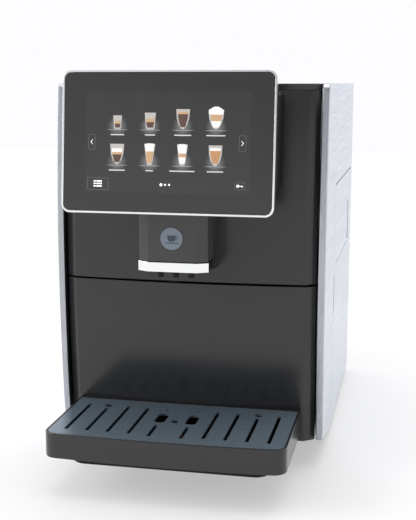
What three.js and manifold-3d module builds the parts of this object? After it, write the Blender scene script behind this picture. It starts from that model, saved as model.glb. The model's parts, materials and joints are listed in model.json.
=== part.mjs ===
// A countertop bean-to-cup coffee machine with a wide touch screen, a height-adjustable spout and a
// drip tray that pulls out with the lower front panel.
// Millimetres, +Z up, the front faces -Y. The origin is the middle of the footprint, on the ground.
// The pieces are laid out from the front plane of the side trims (y = 0) and the whole group is then
// shifted back, so that the origin lies halfway between the tray's front and the back edge.
import * as THREE from "three";
import { mergeVertices } from "three/addons/utils/BufferGeometryUtils.js";
import Module from "manifold-3d";

const wasm = await Module();
wasm.setup();

// ---- driving dimensions -------------------------------------------------------------------------

const bodyWidth = 300;
const bodyDepth = 390; // from the trims' front plane to the back edge
const bodyHeight = 421.5;
const gap = 0.3; // between pieces that touch
const running = 0.5; // between a sliding piece and its guide
const sheet = 3; // side panels, door and shells

// front outline: the trims and panels bow forwards in side view, and the panels in plan too
const bow = 12.6;
const faceSag = 5.6;
const faceLead = 1.9; // the face's edge stands this far ahead of the trims
const bevelWide = 11.5;
const bevelDeep = 8.6;
const bevelGap = 2; // dark joint between panel and trim
const trimWide = 7.1;
const trimDeep = 10;
const trimRound = 8; // radius of the trims' upper front corner
const panelReturn = 14; // how far the front panels' side returns reach back

const seamHeight = 207.5;
const seamGap = 1.8;
const topThick = 6.2;
const skirtFront = 31; // the side panels' lower edge, at the front
const skirtBack = 8; // and behind the door's front edge
const frontFoot = 29; // lower edge of the front panel

const baseLow = 6.3;
const baseTop = 26;
const tongueHalf = 106;
const tongueReach = 50; // the base pan's, ahead of the side panels
const shelfReach = 112; // the drawer's, under the tray
const tongueRound = 16;
const footRadius = 12;
const frontFeet = [85, -28];

const doorFront = 114.6;
const doorTop = 303.6;
const doorGap = 1.2;
const hingeX = bodyWidth / 2 - 4;
const hingeY = bodyDepth - 4;
const pinRadius = 2;
const knuckleRadius = 4;

const trayHalf = 126.7;
const trayReach = 141.2;
const traySag = 4.9;
const trayCorner = 14;
const trayBottom = 40.6;
const trayTop = 67.2;
const trayWall = 2.4;
const trayFloor = 3.4;
const ledge = 3;
const grilleThick = 2.4;
const slotPitch = 22.5;
const slotWide = 4;
const floatY = -74.5;
const floatStem = 3.2;

const screenWide = 216.8;
const screenTall = 142.2;
const screenThick = 12;
const screenTilt = THREE.MathUtils.degToRad(6.55);
const screenFront = -112; // y and z of the screen's lower front edge
const screenFoot = 294;
const screenRound = 9;
const rimWide = 2;
const glassThick = 2;
const displaySize = [177, 100, 4];
const headHalf = 103;
const headLow = 306;
const headHigh = 413.4;
const headBevel = 10;

const spoutHalf = 36.4;
const spoutFront = -85;
const spoutBevelX = 11.3;
const spoutBevelY = 6;
const spoutBack = -52.3;
const spoutLow = 231;
const bandTall = 10;
const spoutTop = 302;
const nozzlePitch = 16.6;
const nozzleRadius = 3.8;
const nozzleDrop = 8.4;
const badgeRadius = 11.7;
const badgeHeight = 266;

const deckLow = 211;
const deckThick = 3;
const cradleHalf = bodyWidth / 2 - 14;
const cradleBack = 120;
const cradleTall = 34;
const binHalf = bodyWidth / 2 - 30;
const binTop = 150;

const tank = {
  x: [8 - bodyWidth / 2, -26],
  y: [bodyDepth - 121, bodyDepth - 8],
  z: [120, 415.9],
  wall: 2.5,
  drain: [-80, bodyDepth - 30],
};
const hopper = { x: [-20, bodyWidth / 2 - 20], y: [60, 250], floor: 401, wall: 2.5, throat: 20 };
const funnel = { x: [14, hopper.x[1] - 2], y: [hopper.y[0] + 4, hopper.y[1] - 4], shoulder: 335 };
const lidThick = 4.2;
const lidGap = 0.8;
const lidPivot = 2.2; // from the lid's rear edge to its pivots
const stubRadius = 1.3;
const grinder = { x: 78, y: 160, radius: 36, low: 236.3, high: 298, ledge: 255.7 };
const brew = { x: 78, y: 225, bore: 23, wall: 5, low: 100, high: 165, rod: 5, spindleX: 120 };
const hoseRadius = 4;

// ---- shape helpers ------------------------------------------------------------------------------

const innerHalf = bodyWidth / 2 - sheet - gap; // half the room between the side panels
const faceHalf = bodyWidth / 2 - trimWide - bevelGap - bevelWide;
const bevelEdge = faceHalf + bevelWide;
const topLow = bodyHeight - topThick;
const bowMiddle = (bodyHeight + skirtBack) / 2;
const bowHalf = (bodyHeight - skirtBack) / 2;
const arcSteps = 10;

// y of the trims' front edge at a height
const frontAt = (z) => -bow * (1 - ((z - bowMiddle) / bowHalf) ** 2);
// y of the front panels' outer surface
const faceAt = (x, z) => {
  const over = Math.max(0, Math.abs(x) - faceHalf);
  const inside = Math.min(Math.abs(x), faceHalf) / faceHalf;
  return frontAt(z) - faceLead - faceSag * (1 - inside ** 2) + (over * bevelDeep) / bevelWide;
};
const steps = (from, to, count) =>
  Array.from({ length: count + 1 }, (_, i) => from + ((to - from) * i) / count);

function block(x, y, z) {
  const box = new THREE.BoxGeometry(x[1] - x[0], y[1] - y[0], z[1] - z[0]);
  return box.translate((x[0] + x[1]) / 2, (y[0] + y[1]) / 2, (z[0] + z[1]) / 2);
}

// a shape through corners [u, v, radius], each corner rounded by its radius
function rounded(corners) {
  const shape = new THREE.Shape();
  corners.forEach(([u, v, radius = 0], i) => {
    const here = new THREE.Vector2(u, v);
    const towards = ([a, b]) => new THREE.Vector2(a, b).sub(here).normalize();
    const before = towards(corners.at(i - 1));
    const after = towards(corners[(i + 1) % corners.length]);
    const half = Math.acos(THREE.MathUtils.clamp(before.dot(after), -1, 1)) / 2;
    const reach = radius / Math.tan(half);
    const start = here.clone().addScaledVector(before, reach);
    const end = here.clone().addScaledVector(after, reach);
    if (i === 0) shape.moveTo(start.x, start.y);
    else shape.lineTo(start.x, start.y);
    if (!radius) return;
    const bisector = before.clone().add(after).normalize();
    const centre = here.clone().addScaledVector(bisector, radius / Math.sin(half));
    const clockwise = before.cross(after) > 0;
    const from = Math.atan2(start.y - centre.y, start.x - centre.x);
    const to = Math.atan2(end.y - centre.y, end.x - centre.x);
    shape.absarc(centre.x, centre.y, radius, from, to, clockwise);
  });
  shape.closePath();
  return shape;
}
const rectangle = (u, v, radius = 0) =>
  rounded([[u[0], v[0], radius], [u[1], v[0], radius], [u[1], v[1], radius], [u[0], v[1], radius]]);
const shapeThrough = (points) => new THREE.Shape(points.map(([u, v]) => new THREE.Vector2(u, v)));

function extrude(shape, depth, curveSegments) {
  return new THREE.ExtrudeGeometry(shape, { depth, bevelEnabled: false, curveSegments });
}
// a plan outline (x, y) raised from z[0] to z[1]
const raise = (shape, z, segments = 3) => extrude(shape, z[1] - z[0], segments).translate(0, 0, z[0]);
// a side outline (y, z) carried from x[0] to x[1]
const turnToX = new THREE.Matrix4().set(0, 0, 1, 0, 1, 0, 0, 0, 0, 1, 0, 0, 0, 0, 0, 1);
const carry = (shape, x, segments = 3) =>
  extrude(shape, x[1] - x[0], segments).applyMatrix4(turnToX).translate(x[0], 0, 0);
// a front outline (x, z) pushed back from y[0] to y[1]
const push = (shape, y, segments = 3) =>
  extrude(shape, y[1] - y[0], segments).rotateX(Math.PI / 2).translate(0, y[1], 0);

// a solid of revolution about the vertical through (x, y); the profile is [radius, z] from below
function turned(x, y, profile, segments = 20) {
  const lathe = new THREE.LatheGeometry(profile.map(([r, z]) => new THREE.Vector2(r, z)), segments);
  return lathe.rotateX(Math.PI / 2).translate(x, y, 0);
}
const rod = (x, y, radius, z, segments = 16) =>
  turned(x, y, [[0, z[0]], [radius, z[0]], [radius, z[1]], [0, z[1]]], segments);
const rodAlongY = (x, z, radius, y, segments = 16) =>
  rod(0, 0, radius, [0, y[1] - y[0]], segments).rotateX(-Math.PI / 2).translate(x, y[0], z);

// a closed skin over plan sections of equal point count, each listed anticlockwise, from below upwards
function loft(sections) {
  const count = sections[0].length;
  const vertices = sections.flat(2);
  const flat = (section) => section.map(([x, y]) => new THREE.Vector2(x, y));
  const low = THREE.ShapeUtils.triangulateShape(flat(sections[0]), []);
  const high = THREE.ShapeUtils.triangulateShape(flat(sections.at(-1)), []);
  const top = (sections.length - 1) * count;
  const faces = low.map(([a, b, c]) => [a, c, b]);
  faces.push(...high.map((face) => face.map((i) => i + top)));
  for (let level = 0; level < sections.length - 1; level++)
    for (let i = 0; i < count; i++) {
      const a = level * count + i;
      const b = level * count + ((i + 1) % count);
      faces.push([a, b, b + count], [a, b + count, a + count]);
    }
  const geometry = new THREE.BufferGeometry();
  geometry.setAttribute("position", new THREE.Float32BufferAttribute(vertices, 3));
  geometry.setIndex(faces.flat());
  return geometry;
}

// ---- joining and cutting ------------------------------------------------------------------------

function solidOf(geometry) {
  const plain = new THREE.BufferGeometry();
  plain.setAttribute("position", geometry.getAttribute("position"));
  plain.setIndex(geometry.index);
  const merged = mergeVertices(plain, 1e-3);
  const vertProperties = merged.attributes.position.array;
  const triVerts = new Uint32Array(merged.index.array);
  return new wasm.Manifold(new wasm.Mesh({ numProp: 3, vertProperties, triVerts }));
}
function geometryOf(solid) {
  const mesh = solid.getMesh();
  const geometry = new THREE.BufferGeometry();
  geometry.setAttribute("position", new THREE.Float32BufferAttribute(mesh.vertProperties, 3));
  geometry.setIndex(new THREE.BufferAttribute(mesh.triVerts, 1));
  return geometry;
}
const cut = (body, ...tools) =>
  geometryOf(tools.reduce((left, tool) => left.subtract(solidOf(tool)), solidOf(body)));
const join = (...pieces) =>
  geometryOf(pieces.slice(1).reduce((sum, piece) => sum.add(solidOf(piece)), solidOf(pieces[0])));

// ---- materials ----------------------------------------------------------------------------------

const finish = (color, roughness, metalness = 0) =>
  new THREE.MeshStandardMaterial({ color, roughness, metalness });
const materials = {
  satinBlack: finish(0x232324, 0.38),
  matteBlack: finish(0x161617, 0.6),
  brushedAluminium: finish(0xcfd2d8, 0.35, 1),
  chrome: finish(0xe8eaec, 0.1, 1),
  glass: finish(0x2a2a2b, 0.08),
  tintedSteel: finish(0x55616b, 0.25, 0.9),
  rubber: finish(0x101010, 0.9),
  clearPlastic: finish(0x9fb0b8, 0.15),
  smokedPlastic: finish(0x4a4038, 0.2),
  whitePlastic: finish(0xdcdcd6, 0.5),
  greyPlastic: finish(0x7c7f82, 0.55),
  steel: finish(0xb4b7ba, 0.3, 1),
  castAluminium: finish(0x9b9ea1, 0.5, 1),
  circuitBoard: finish(0x1c5a38, 0.5),
  silicone: finish(0xe9e6df, 0.5),
  badge: finish(0x6f7a85, 0.4, 0.3),
  red: finish(0xb3261e, 0.45),
};

// ---- assembly -----------------------------------------------------------------------------------

const machine = new THREE.Group();
machine.position.y = -(bodyDepth - trayReach) / 2;

function add(name, geometry, material, parent = machine) {
  const mesh = new THREE.Mesh(geometry, material);
  mesh.name = name;
  parent.add(mesh);
}

// ---- base, feet and side walls ------------------------------------------------------------------

function basePan() {
  const backHalf = innerHalf;
  const outline = rounded([
    [-tongueHalf, -tongueReach, tongueRound],
    [tongueHalf, -tongueReach, tongueRound],
    [tongueHalf, doorFront],
    [backHalf, doorFront],
    [backHalf, bodyDepth - 6 - gap],
    [-backHalf, bodyDepth - 6 - gap],
    [-backHalf, doorFront],
    [-tongueHalf, doorFront],
  ]);
  const hingeRoom = block([hingeX - 8, innerHalf + 1], [hingeY - 8, bodyDepth], [skirtBack, baseTop + 1]);
  add("base_pan", cut(raise(outline, [baseLow, baseTop]), hingeRoom), materials.matteBlack);
}

function feet() {
  const [x, y] = frontFeet;
  const spots = { foot_front_left: [-x, y], foot_front_right: [x, y] };
  spots.foot_rear_left = [-120, bodyDepth - 40];
  spots.foot_rear_right = [120, bodyDepth - 40];
  for (const [name, spot] of Object.entries(spots))
    add(name, rod(...spot, footRadius, [0, baseLow - gap]), materials.rubber);
}

// lower edge of a side panel at a depth behind the front
const skirtAt = (y) =>
  skirtBack + (skirtFront - skirtBack) * THREE.MathUtils.clamp(1 - y / (doorFront - doorGap), 0, 1);

function trims() {
  const straight = steps(skirtFront, bodyHeight - trimRound, arcSteps).map((z) => [frontAt(z), z]);
  const crown = steps(0, Math.PI / 2, 5).slice(1).map((angle) => [
    frontAt(bodyHeight - trimRound) + trimRound * (1 - Math.cos(angle)),
    bodyHeight - trimRound + trimRound * Math.sin(angle),
  ]);
  const back = steps(bodyHeight, skirtFront - 2, arcSteps).map((z) => [frontAt(z) + trimDeep, z]);
  const shape = shapeThrough([...straight, ...crown, ...back]);
  const inner = bodyWidth / 2 - trimWide;
  add("left_trim", carry(shape, [-bodyWidth / 2, -inner]), materials.brushedAluminium);
  add("right_trim", carry(shape, [inner, bodyWidth / 2]), materials.brushedAluminium);
}

function sidePanels() {
  const front = steps(skirtAt(trimDeep), bodyHeight, arcSteps).map((z) => [frontAt(z) + trimDeep + gap, z]);
  const whole = shapeThrough([
    ...front,
    [bodyDepth, bodyHeight],
    [bodyDepth, skirtBack],
    [doorFront - doorGap, skirtBack],
  ]);
  const withDoorway = shapeThrough([
    ...front,
    [bodyDepth, bodyHeight],
    [bodyDepth, doorTop + doorGap],
    [doorFront - doorGap, doorTop + doorGap],
    [doorFront - doorGap, skirtBack],
  ]);
  const outer = bodyWidth / 2;
  add("left_side_panel", carry(whole, [-outer, sheet - outer]), materials.brushedAluminium);
  add("right_side_panel", carry(withDoorway, [outer - sheet, outer]), materials.brushedAluminium);
}

function serviceDoor() {
  const outer = bodyWidth / 2;
  const plate = block([outer - sheet, outer], [doorFront, bodyDepth - gap], [skirtBack, doorTop]);
  const knuckle = (z) => rod(hingeX, hingeY, knuckleRadius, z);
  const recessOutline = rectangle([doorFront + 30.4, bodyDepth - 50], [204, 262], 6);
  const recess = carry(recessOutline, [outer - 1.2, outer + 1]);
  const notchOutline = rectangle([doorFront - 6, doorFront + 6], [150, 195], 5);
  const notch = carry(notchOutline, [outer - sheet - 1, outer + 1]);
  const bore = rod(hingeX, hingeY, pinRadius + gap, [0, bodyHeight]);
  const door = join(plate, knuckle([20, 60]), knuckle([240, 280]));
  add("service_door", cut(door, recess, notch, bore), materials.brushedAluminium);
  const pin = rod(hingeX, hingeY, pinRadius, [skirtBack + gap, doorTop + doorGap - gap], 12);
  add("door_hinge_pin", pin, materials.steel);
}

// ---- front, top and back covers -----------------------------------------------------------------

// plan section of a front panel: a shallow channel that follows the bowed face
function panelSection(z) {
  const outer = steps(-faceHalf, faceHalf, arcSteps).map((x) => [x, faceAt(x, z), z]);
  const skin = (x) => [x * (1 - sheet / (2 * faceHalf)), faceAt(x, z) + sheet, z];
  const inner = steps(faceHalf, -faceHalf, arcSteps).map(skin);
  const edge = (side, inset, y) => [side * (bevelEdge - inset), y, z];
  return [
    edge(-1, 0, panelReturn),
    edge(-1, 0, faceAt(bevelEdge, z)),
    ...outer,
    edge(1, 0, faceAt(bevelEdge, z)),
    edge(1, 0, panelReturn),
    edge(1, sheet, panelReturn),
    edge(1, sheet, faceAt(bevelEdge, z) + sheet / 2),
    ...inner,
    edge(-1, sheet, faceAt(bevelEdge, z) + sheet / 2),
    edge(-1, sheet, panelReturn),
  ];
}
const frontPanel = (z) => loft(steps(z[0], z[1], 7).map(panelSection));

function frontPanels() {
  const hoseHole = rodAlongY(0, 250, 2 * hoseRadius, [-40, 20]);
  const upper = frontPanel([seamHeight + seamGap / 2, topLow - gap]);
  add("upper_front_panel", cut(upper, hoseHole), materials.satinBlack);
  add("lower_front_panel", frontPanel([frontFoot, seamHeight - seamGap / 2]), materials.satinBlack);
}

function topCover() {
  const z = topLow;
  const nose = steps(-faceHalf, faceHalf, arcSteps).map((x) => [x, faceAt(x, z)]);
  const behindTrim = trimDeep + 2 * gap;
  const outline = shapeThrough([
    [-bevelEdge, faceAt(bevelEdge, z)],
    ...nose,
    [bevelEdge, faceAt(bevelEdge, z)],
    [bevelEdge, behindTrim],
    [innerHalf, behindTrim],
    [innerHalf, bodyDepth - sheet],
    [-innerHalf, bodyDepth - sheet],
    [-innerHalf, behindTrim],
    [-bevelEdge, behindTrim],
  ]);
  const through = [z - 1, bodyHeight + 1];
  const hopperMouth = block(hopper.x, hopper.y, through);
  const tankMouth = block(
    [tank.x[0] - 1.3, tank.x[1] + 1.3],
    [tank.y[0] - 1.3, tank.y[1] + 1.3],
    through,
  );
  const stubRow = hopper.y[1] - 2 * lidGap - lidPivot;
  const sockets = lidStubs([hopper.x[0] - 2 - gap, hopper.x[1] + 2 + gap], stubRow, stubRadius + gap);
  const cover = cut(raise(outline, [topLow, bodyHeight]), hopperMouth, tankMouth, sockets);
  add("top_cover", cover, materials.satinBlack);
}

const rearFace = bodyDepth - sheet; // outer face of the rear panel
const inlet = { x: [64, 112], z: [40, 74], socket: [[68, 92], [46, 68]], rocker: [[96, 108], [46, 68]] };

function rearPanel() {
  const tall = [skirtBack + gap, topLow - gap];
  const plate = block([-innerHalf, hingeX - 6.5], [rearFace - sheet, rearFace], tall);
  const through = [rearFace - 2 * sheet, rearFace + 1];
  const vents = [];
  for (const height of [250, 340])
    for (const x of steps(-4, 124, 8))
      vents.push(push(rectangle([x - 2, x + 2], [height - 34, height + 34], 1.9), through, 1));
  const window = block([inlet.x[0] + 2, inlet.x[1] - 2], through, [inlet.z[0] + 2, inlet.z[1] - 2]);
  add("rear_panel", cut(plate, window, ...vents), materials.matteBlack);
}

function powerInlet() {
  const flange = block(inlet.x, [rearFace + gap, rearFace + 2.5], inlet.z);
  const body = block(
    [inlet.x[0] + 2 + gap, inlet.x[1] - 2 - gap],
    [rearFace - 22, rearFace + 1],
    [inlet.z[0] + 2 + gap, inlet.z[1] - 2 - gap],
  );
  const depth = [rearFace - 16, rearFace + 4];
  const socket = push(rectangle(...inlet.socket, 3), depth, 3);
  const rockerWell = block(inlet.rocker[0], [rearFace - 8, rearFace + 4], inlet.rocker[1]);
  const middle = (inlet.socket[0][0] + inlet.socket[0][1]) / 2;
  const blades = [-7, 0, 7].map((x) =>
    block([middle + x - 1, middle + x + 1], [rearFace - 17, rearFace - 3], [x ? 54 : 57, x ? 58 : 61]),
  );
  add("power_inlet", join(cut(join(flange, body), socket, rockerWell), ...blades), materials.matteBlack);
  const low = inlet.rocker[1][0] + running;
  const high = inlet.rocker[1][1] - running;
  const rocker = shapeThrough([
    [rearFace - 4, (low + high) / 2 - 4],
    [rearFace + 1, low + 1],
    [rearFace + 2.5, low + 1],
    [rearFace + 1.2, (low + high) / 2],
    [rearFace + 2.5, high - 1],
    [rearFace + 1, high - 1],
    [rearFace - 4, (low + high) / 2 + 4],
  ]);
  const width = [inlet.rocker[0][0] + running, inlet.rocker[0][1] - running];
  add("power_switch", carry(rocker, width), materials.red);
}

// ---- inner chassis ------------------------------------------------------------------------------

const deckTop = deckLow + deckThick;
const wallX = [-16, -13];
const seatZ = [tank.z[0] - gap - 11, tank.z[0] - gap];

const chute = { x: [brew.x - 9, brew.x + 9], top: [176, 192], bottom: [185, 201], z: [172, 236], wall: 2 };
const chuteSection = (z, inset) => {
  const lean = (chute.z[1] - z) / (chute.z[1] - chute.z[0]);
  const y = [0, 1].map((i) => chute.top[i] + (chute.bottom[i] - chute.top[i]) * lean);
  const [x0, x1] = [chute.x[0] + inset, chute.x[1] - inset];
  return [[x0, y[0] + inset, z], [x1, y[0] + inset, z], [x1, y[1] - inset, z], [x0, y[1] - inset, z]];
};
const chuteDuct = (inset, over = 0) =>
  loft([chuteSection(chute.z[0] - over, inset), chuteSection(chute.z[1] + over, inset)]);

const [drainX, drainY] = tank.drain;
const pump = { x: drainX, z: 60, y: [cradleBack + 35, cradleBack + 125], nose: 10 };
const pumpIn = pump.y[1] + pump.nose;
const pumpOut = pump.y[0] - pump.nose;
const hoses = {
  hose_tank: [[drainX, drainY, seatZ[0] - 10.4], [drainX, drainY, 84], [drainX, drainY - 7, 67],
    [drainX, drainY - 22, 60.5], [pump.x, pumpIn + 8, 60], [pump.x, pumpIn + 4, 60],
    [pump.x, pumpIn + 0.5, 60]],
  hose_pump: [[pump.x, pumpOut - 0.5, 60], [pump.x, pumpOut - 4, 60], [pump.x, pumpOut - 8, 60.4],
    [pump.x, pumpOut - 14, 65], [pump.x, pumpOut - 16, 75], [pump.x, pumpOut - 16, 100],
    [pump.x, pumpOut - 15, deckTop - 0.2]],
  hose_brew: [[-44.5, 190, 240], [-41, 190, 240], [-36, 190, 240], [-24, 194, 240], [-6, 213, 238],
    [20, 236, 236], [42, 241, 231], [50, 241, 218], [50, 241, 206.4]],
  hose_coffee: [[104, 246, 206.4], [104, 246, 222], [116, 238, 231], [129, 215, 232], [131, 160, 232],
    [128, 90, 234], [100, 45, 240], [45, 20, 249], [12, 8, 250], [0, -12, 250], [0, -30, 250],
    [0, -47.6, 250]],
};
const deckHoles = [[pump.x, pumpOut - 15], [50, 241], [104, 246], [brew.x, brew.y]];

function chassis() {
  const deck = block([-innerHalf, innerHalf], [panelReturn + gap, bodyDepth - 14], [deckLow, deckTop]);
  const through = [deckLow - 1, deckTop + 1];
  const tankRoom = block([-innerHalf - 1, tank.x[1] + 4], [tank.y[0] - 5, bodyDepth], through);
  const chuteRoom = block([chute.x[0] - 2, chute.x[1] + 2], [174, 202], through);
  const holes = deckHoles.map(([x, y]) => rod(x, y, hoseRadius + 2, through));
  add("chassis_deck", cut(deck, tankRoom, chuteRoom, ...holes), materials.greyPlastic);
  const wall = block(wallX, [cradleBack + 5, rearFace - sheet - gap], [baseTop + gap, deckLow - gap]);
  const corner = block([-20, -10], [bodyDepth - 18, bodyDepth + 10], [180, 300]);
  add("chassis_wall", cut(wall, corner), materials.greyPlastic);
}

// ---- touch screen and its head ------------------------------------------------------------------

function touchScreen() {
  const head = new THREE.Group();
  head.position.set(0, screenFront, screenFoot);
  head.rotation.x = -screenTilt;
  machine.add(head);
  const half = screenWide / 2;
  const outline = (inset) =>
    rectangle([inset - half, half - inset], [inset, screenTall - inset], screenRound - inset);
  const pocket = push(outline(rimWide), [-1, screenThick - 2], 6);
  add("screen_frame", cut(push(outline(0), [0, screenThick], 6), pocket), materials.brushedAluminium, head);
  add("screen_glass", push(outline(rimWide + gap), [0, glassThick], 6), materials.glass, head);
  const [wide, tall, thick] = displaySize;
  const z = [(screenTall - tall) / 2, (screenTall + tall) / 2];
  const panel = block([-wide / 2, wide / 2], [glassThick + gap, glassThick + gap + thick], z);
  const board = block([-60, 60], [glassThick + thick, screenThick - 2 - gap], [z[0] + 15, z[1] - 15]);
  add("display_panel", join(panel, board), materials.circuitBoard, head);
}

// y of the plane behind the screen, which the head butts against
const screenBackAt = (z) => {
  const y0 = screenFront + screenThick * Math.cos(screenTilt);
  const z0 = screenFoot - screenThick * Math.sin(screenTilt);
  return y0 + (z - z0) * Math.tan(screenTilt);
};

// plan section between a front plane and the bowed face
function againstFace(z, half, front, setBack) {
  const back = steps(half, -half, arcSteps).map((x) => [x, faceAt(x, z) - gap + setBack, z]);
  return [[-half, front, z], [half, front, z], ...back];
}

function headHousing() {
  const levels = [
    [headLow, headHalf - headBevel],
    [headLow + headBevel, headHalf],
    [(headLow + headHigh) / 2, headHalf],
    [headHigh - 3, headHalf],
    [headHigh, headHalf - 3],
  ];
  const outer = loft(levels.map(([z, half]) => againstFace(z, half, screenBackAt(z) + gap, 0)));
  const hollow = [
    [headLow + sheet, headHalf - headBevel - sheet],
    [headLow + headBevel + sheet, headHalf - sheet],
    [headHigh - sheet, headHalf - sheet],
  ];
  const inner = loft(hollow.map(([z, half]) => againstFace(z, half, screenBackAt(z) - 1, -sheet)));
  add("head_housing", cut(outer, inner), materials.matteBlack);
}

// ---- spout --------------------------------------------------------------------------------------

const guideLow = 228;

function spoutGuide() {
  const z = [guideLow, (guideLow + headLow) / 2, headLow - gap];
  const column = loft(z.map((level) => againstFace(level, spoutHalf, spoutBack + running, 0)));
  const channel = block([-28, 28], [-48, 10], [guideLow - 1, headLow - 6]);
  const groove = (side) => {
    const outline = rectangle([side * spoutHalf - 1.5, side * spoutHalf + 1.5], [guideLow - 9, 266], 1.4);
    return push(outline, [-46, -43], 3);
  };
  add("spout_guide", cut(column, channel, groove(1), groove(-1)), materials.satinBlack);
}

// plan corners of the spout's chamfered front, grown by an offset
const spoutNose = (grow) => [
  [-spoutHalf - grow, spoutFront + spoutBevelY - grow / 2],
  [spoutBevelX - spoutHalf - grow / 2, spoutFront - grow],
  [spoutHalf - spoutBevelX + grow / 2, spoutFront - grow],
  [spoutHalf + grow, spoutFront + spoutBevelY - grow / 2],
];
const nozzles = { nozzle_left: -nozzlePitch, nozzle_middle: 0, nozzle_right: nozzlePitch };
const nozzleY = -68;

function spout() {
  const bandTop = spoutLow + bandTall;
  const shell = shapeThrough([...spoutNose(0), [spoutHalf, spoutBack], [-spoutHalf, spoutBack]]);
  const inside = shapeThrough([
    ...spoutNose(-sheet),
    [spoutHalf - sheet, spoutBack - sheet],
    [sheet - spoutHalf, spoutBack - sheet],
  ]);
  const hollow = raise(inside, [spoutLow, spoutTop - sheet]);
  add("spout_cover", cut(raise(shell, [bandTop + gap, spoutTop]), hollow), materials.satinBlack);

  const bandBack = spoutFront + spoutBevelY + 2.8;
  const band = shapeThrough([
    ...spoutNose(0.9),
    [spoutHalf + 0.9, bandBack],
    [spoutHalf - 1.8, bandBack],
    ...spoutNose(-1.8).reverse(),
    [1.8 - spoutHalf, bandBack],
    [-spoutHalf - 0.9, bandBack],
  ]);
  add("spout_band", raise(band, [spoutLow, bandTop]), materials.chrome);

  const floor = shapeThrough([
    [-spoutHalf, bandBack + gap],
    [2.1 - spoutHalf, bandBack + gap],
    ...spoutNose(-2.1),
    [spoutHalf - 2.1, bandBack + gap],
    [spoutHalf, bandBack + gap],
    [spoutHalf, spoutBack],
    [-spoutHalf, spoutBack],
  ]);
  const bores = Object.values(nozzles).map((x) =>
    rod(x, nozzleY, nozzleRadius + gap, [spoutLow - 1, bandTop + 1]),
  );
  add("spout_manifold", cut(raise(floor, [spoutLow + 0.4, bandTop]), ...bores), materials.matteBlack);

  const tip = spoutLow - nozzleDrop;
  const profile = [
    [2, tip],
    [nozzleRadius - 0.7, tip],
    [nozzleRadius, spoutLow + 1],
    [nozzleRadius, bandTop - 1],
    [2, bandTop - 1],
    [2, tip],
  ];
  for (const [name, x] of Object.entries(nozzles))
    add(name, turned(x, nozzleY, profile, 16), materials.matteBlack);

  const badge = rodAlongY(0, badgeHeight, badgeRadius, [spoutFront - gap - 0.8, spoutFront - gap], 32);
  add("spout_badge", badge, materials.badge);
}

// ---- drip tray and drawer -----------------------------------------------------------------------

// plan section of the tray: bowed front, round front corners and a back that follows the front panel,
// or runs straight across just ahead of it
function traySection(z, inset, backGap, straightBack) {
  const half = trayHalf - inset;
  const radius = Math.max(trayCorner - inset, 2);
  const flatHalf = half - radius;
  const frontY = (x) => -(trayReach - inset) + traySag * (x / trayHalf) ** 2;
  const corner = (side, angles) =>
    angles.map((a) => [
      side * flatHalf + radius * Math.cos(a),
      frontY(flatHalf) + radius + radius * Math.sin(a),
      z,
    ]);
  const left = corner(-1, steps(Math.PI, 1.5 * Math.PI, 5));
  const right = corner(1, steps(1.5 * Math.PI, 2 * Math.PI, 5));
  const bowed = steps(-flatHalf, flatHalf, 8).slice(1, -1).map((x) => [x, frontY(x), z]);
  const backY = (x) => faceAt(straightBack ? 0 : x, z) - backGap;
  const back = steps(half, -half, arcSteps).map((x) => [x, backY(x), z]);
  return [...left, ...bowed, ...right, ...back];
}
const trayShell = (z) => loft(z.map((level) => traySection(level, 0, gap, false)));
const trayPrism = (z, inset) => loft(z.map((level) => traySection(level, inset, gap + inset, true)));

function dripTray() {
  const seat = trayTop - grilleThick - gap;
  const basin = trayPrism([trayBottom + trayFloor, trayTop + 1], trayWall + ledge);
  const recess = trayPrism([seat, trayTop + 2], trayWall);
  add("drip_tray", cut(trayShell([trayBottom, trayTop]), basin, recess), materials.satinBlack);
}

function dripGrille() {
  const z = [trayTop - grilleThick, trayTop - 0.1];
  const plate = trayPrism(z, trayWall + gap);
  const through = [z[0] - 1, z[1] + 1];
  const half = slotWide / 2;
  const slot = (x, y) => raise(rectangle([x - half, x + half], y, half - 0.02), through, 2);
  const long = [-120, -36];
  const holes = [rod(0, floatY, 5, through, 16)];
  for (const side of [-1, 1]) {
    const at = (n) => side * (slotPitch * n - 5.5);
    holes.push(slot(at(1), [-124, -88]));
    holes.push(raise(rectangle([at(1) - 6, at(1) + 6], [-80.5, -51.5], 4.5), through, 2));
    holes.push(rod(at(1), -39.5, 2.3, through, 12));
    holes.push(slot(at(2), long), slot(at(3), long), slot(at(5), long));
    holes.push(slot(at(4), [-120, -46]), rod(at(4), -37.5, 4.8, through, 16));
  }
  add("drip_grille", cut(plate, ...holes), materials.tintedSteel);
}

// a red disc that floats up in a full tray, until its stem shows through the grille's middle hole
function trayFloat() {
  const floor = trayBottom + trayFloor + gap;
  const disc = floor + 8;
  const tip = floor + 14;
  const profile = [[0, floor], [8, floor], [8, disc], [floatStem, disc], [floatStem, tip], [0, tip]];
  add("tray_float", turned(0, floatY, profile, 16), materials.red);
}

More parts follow.
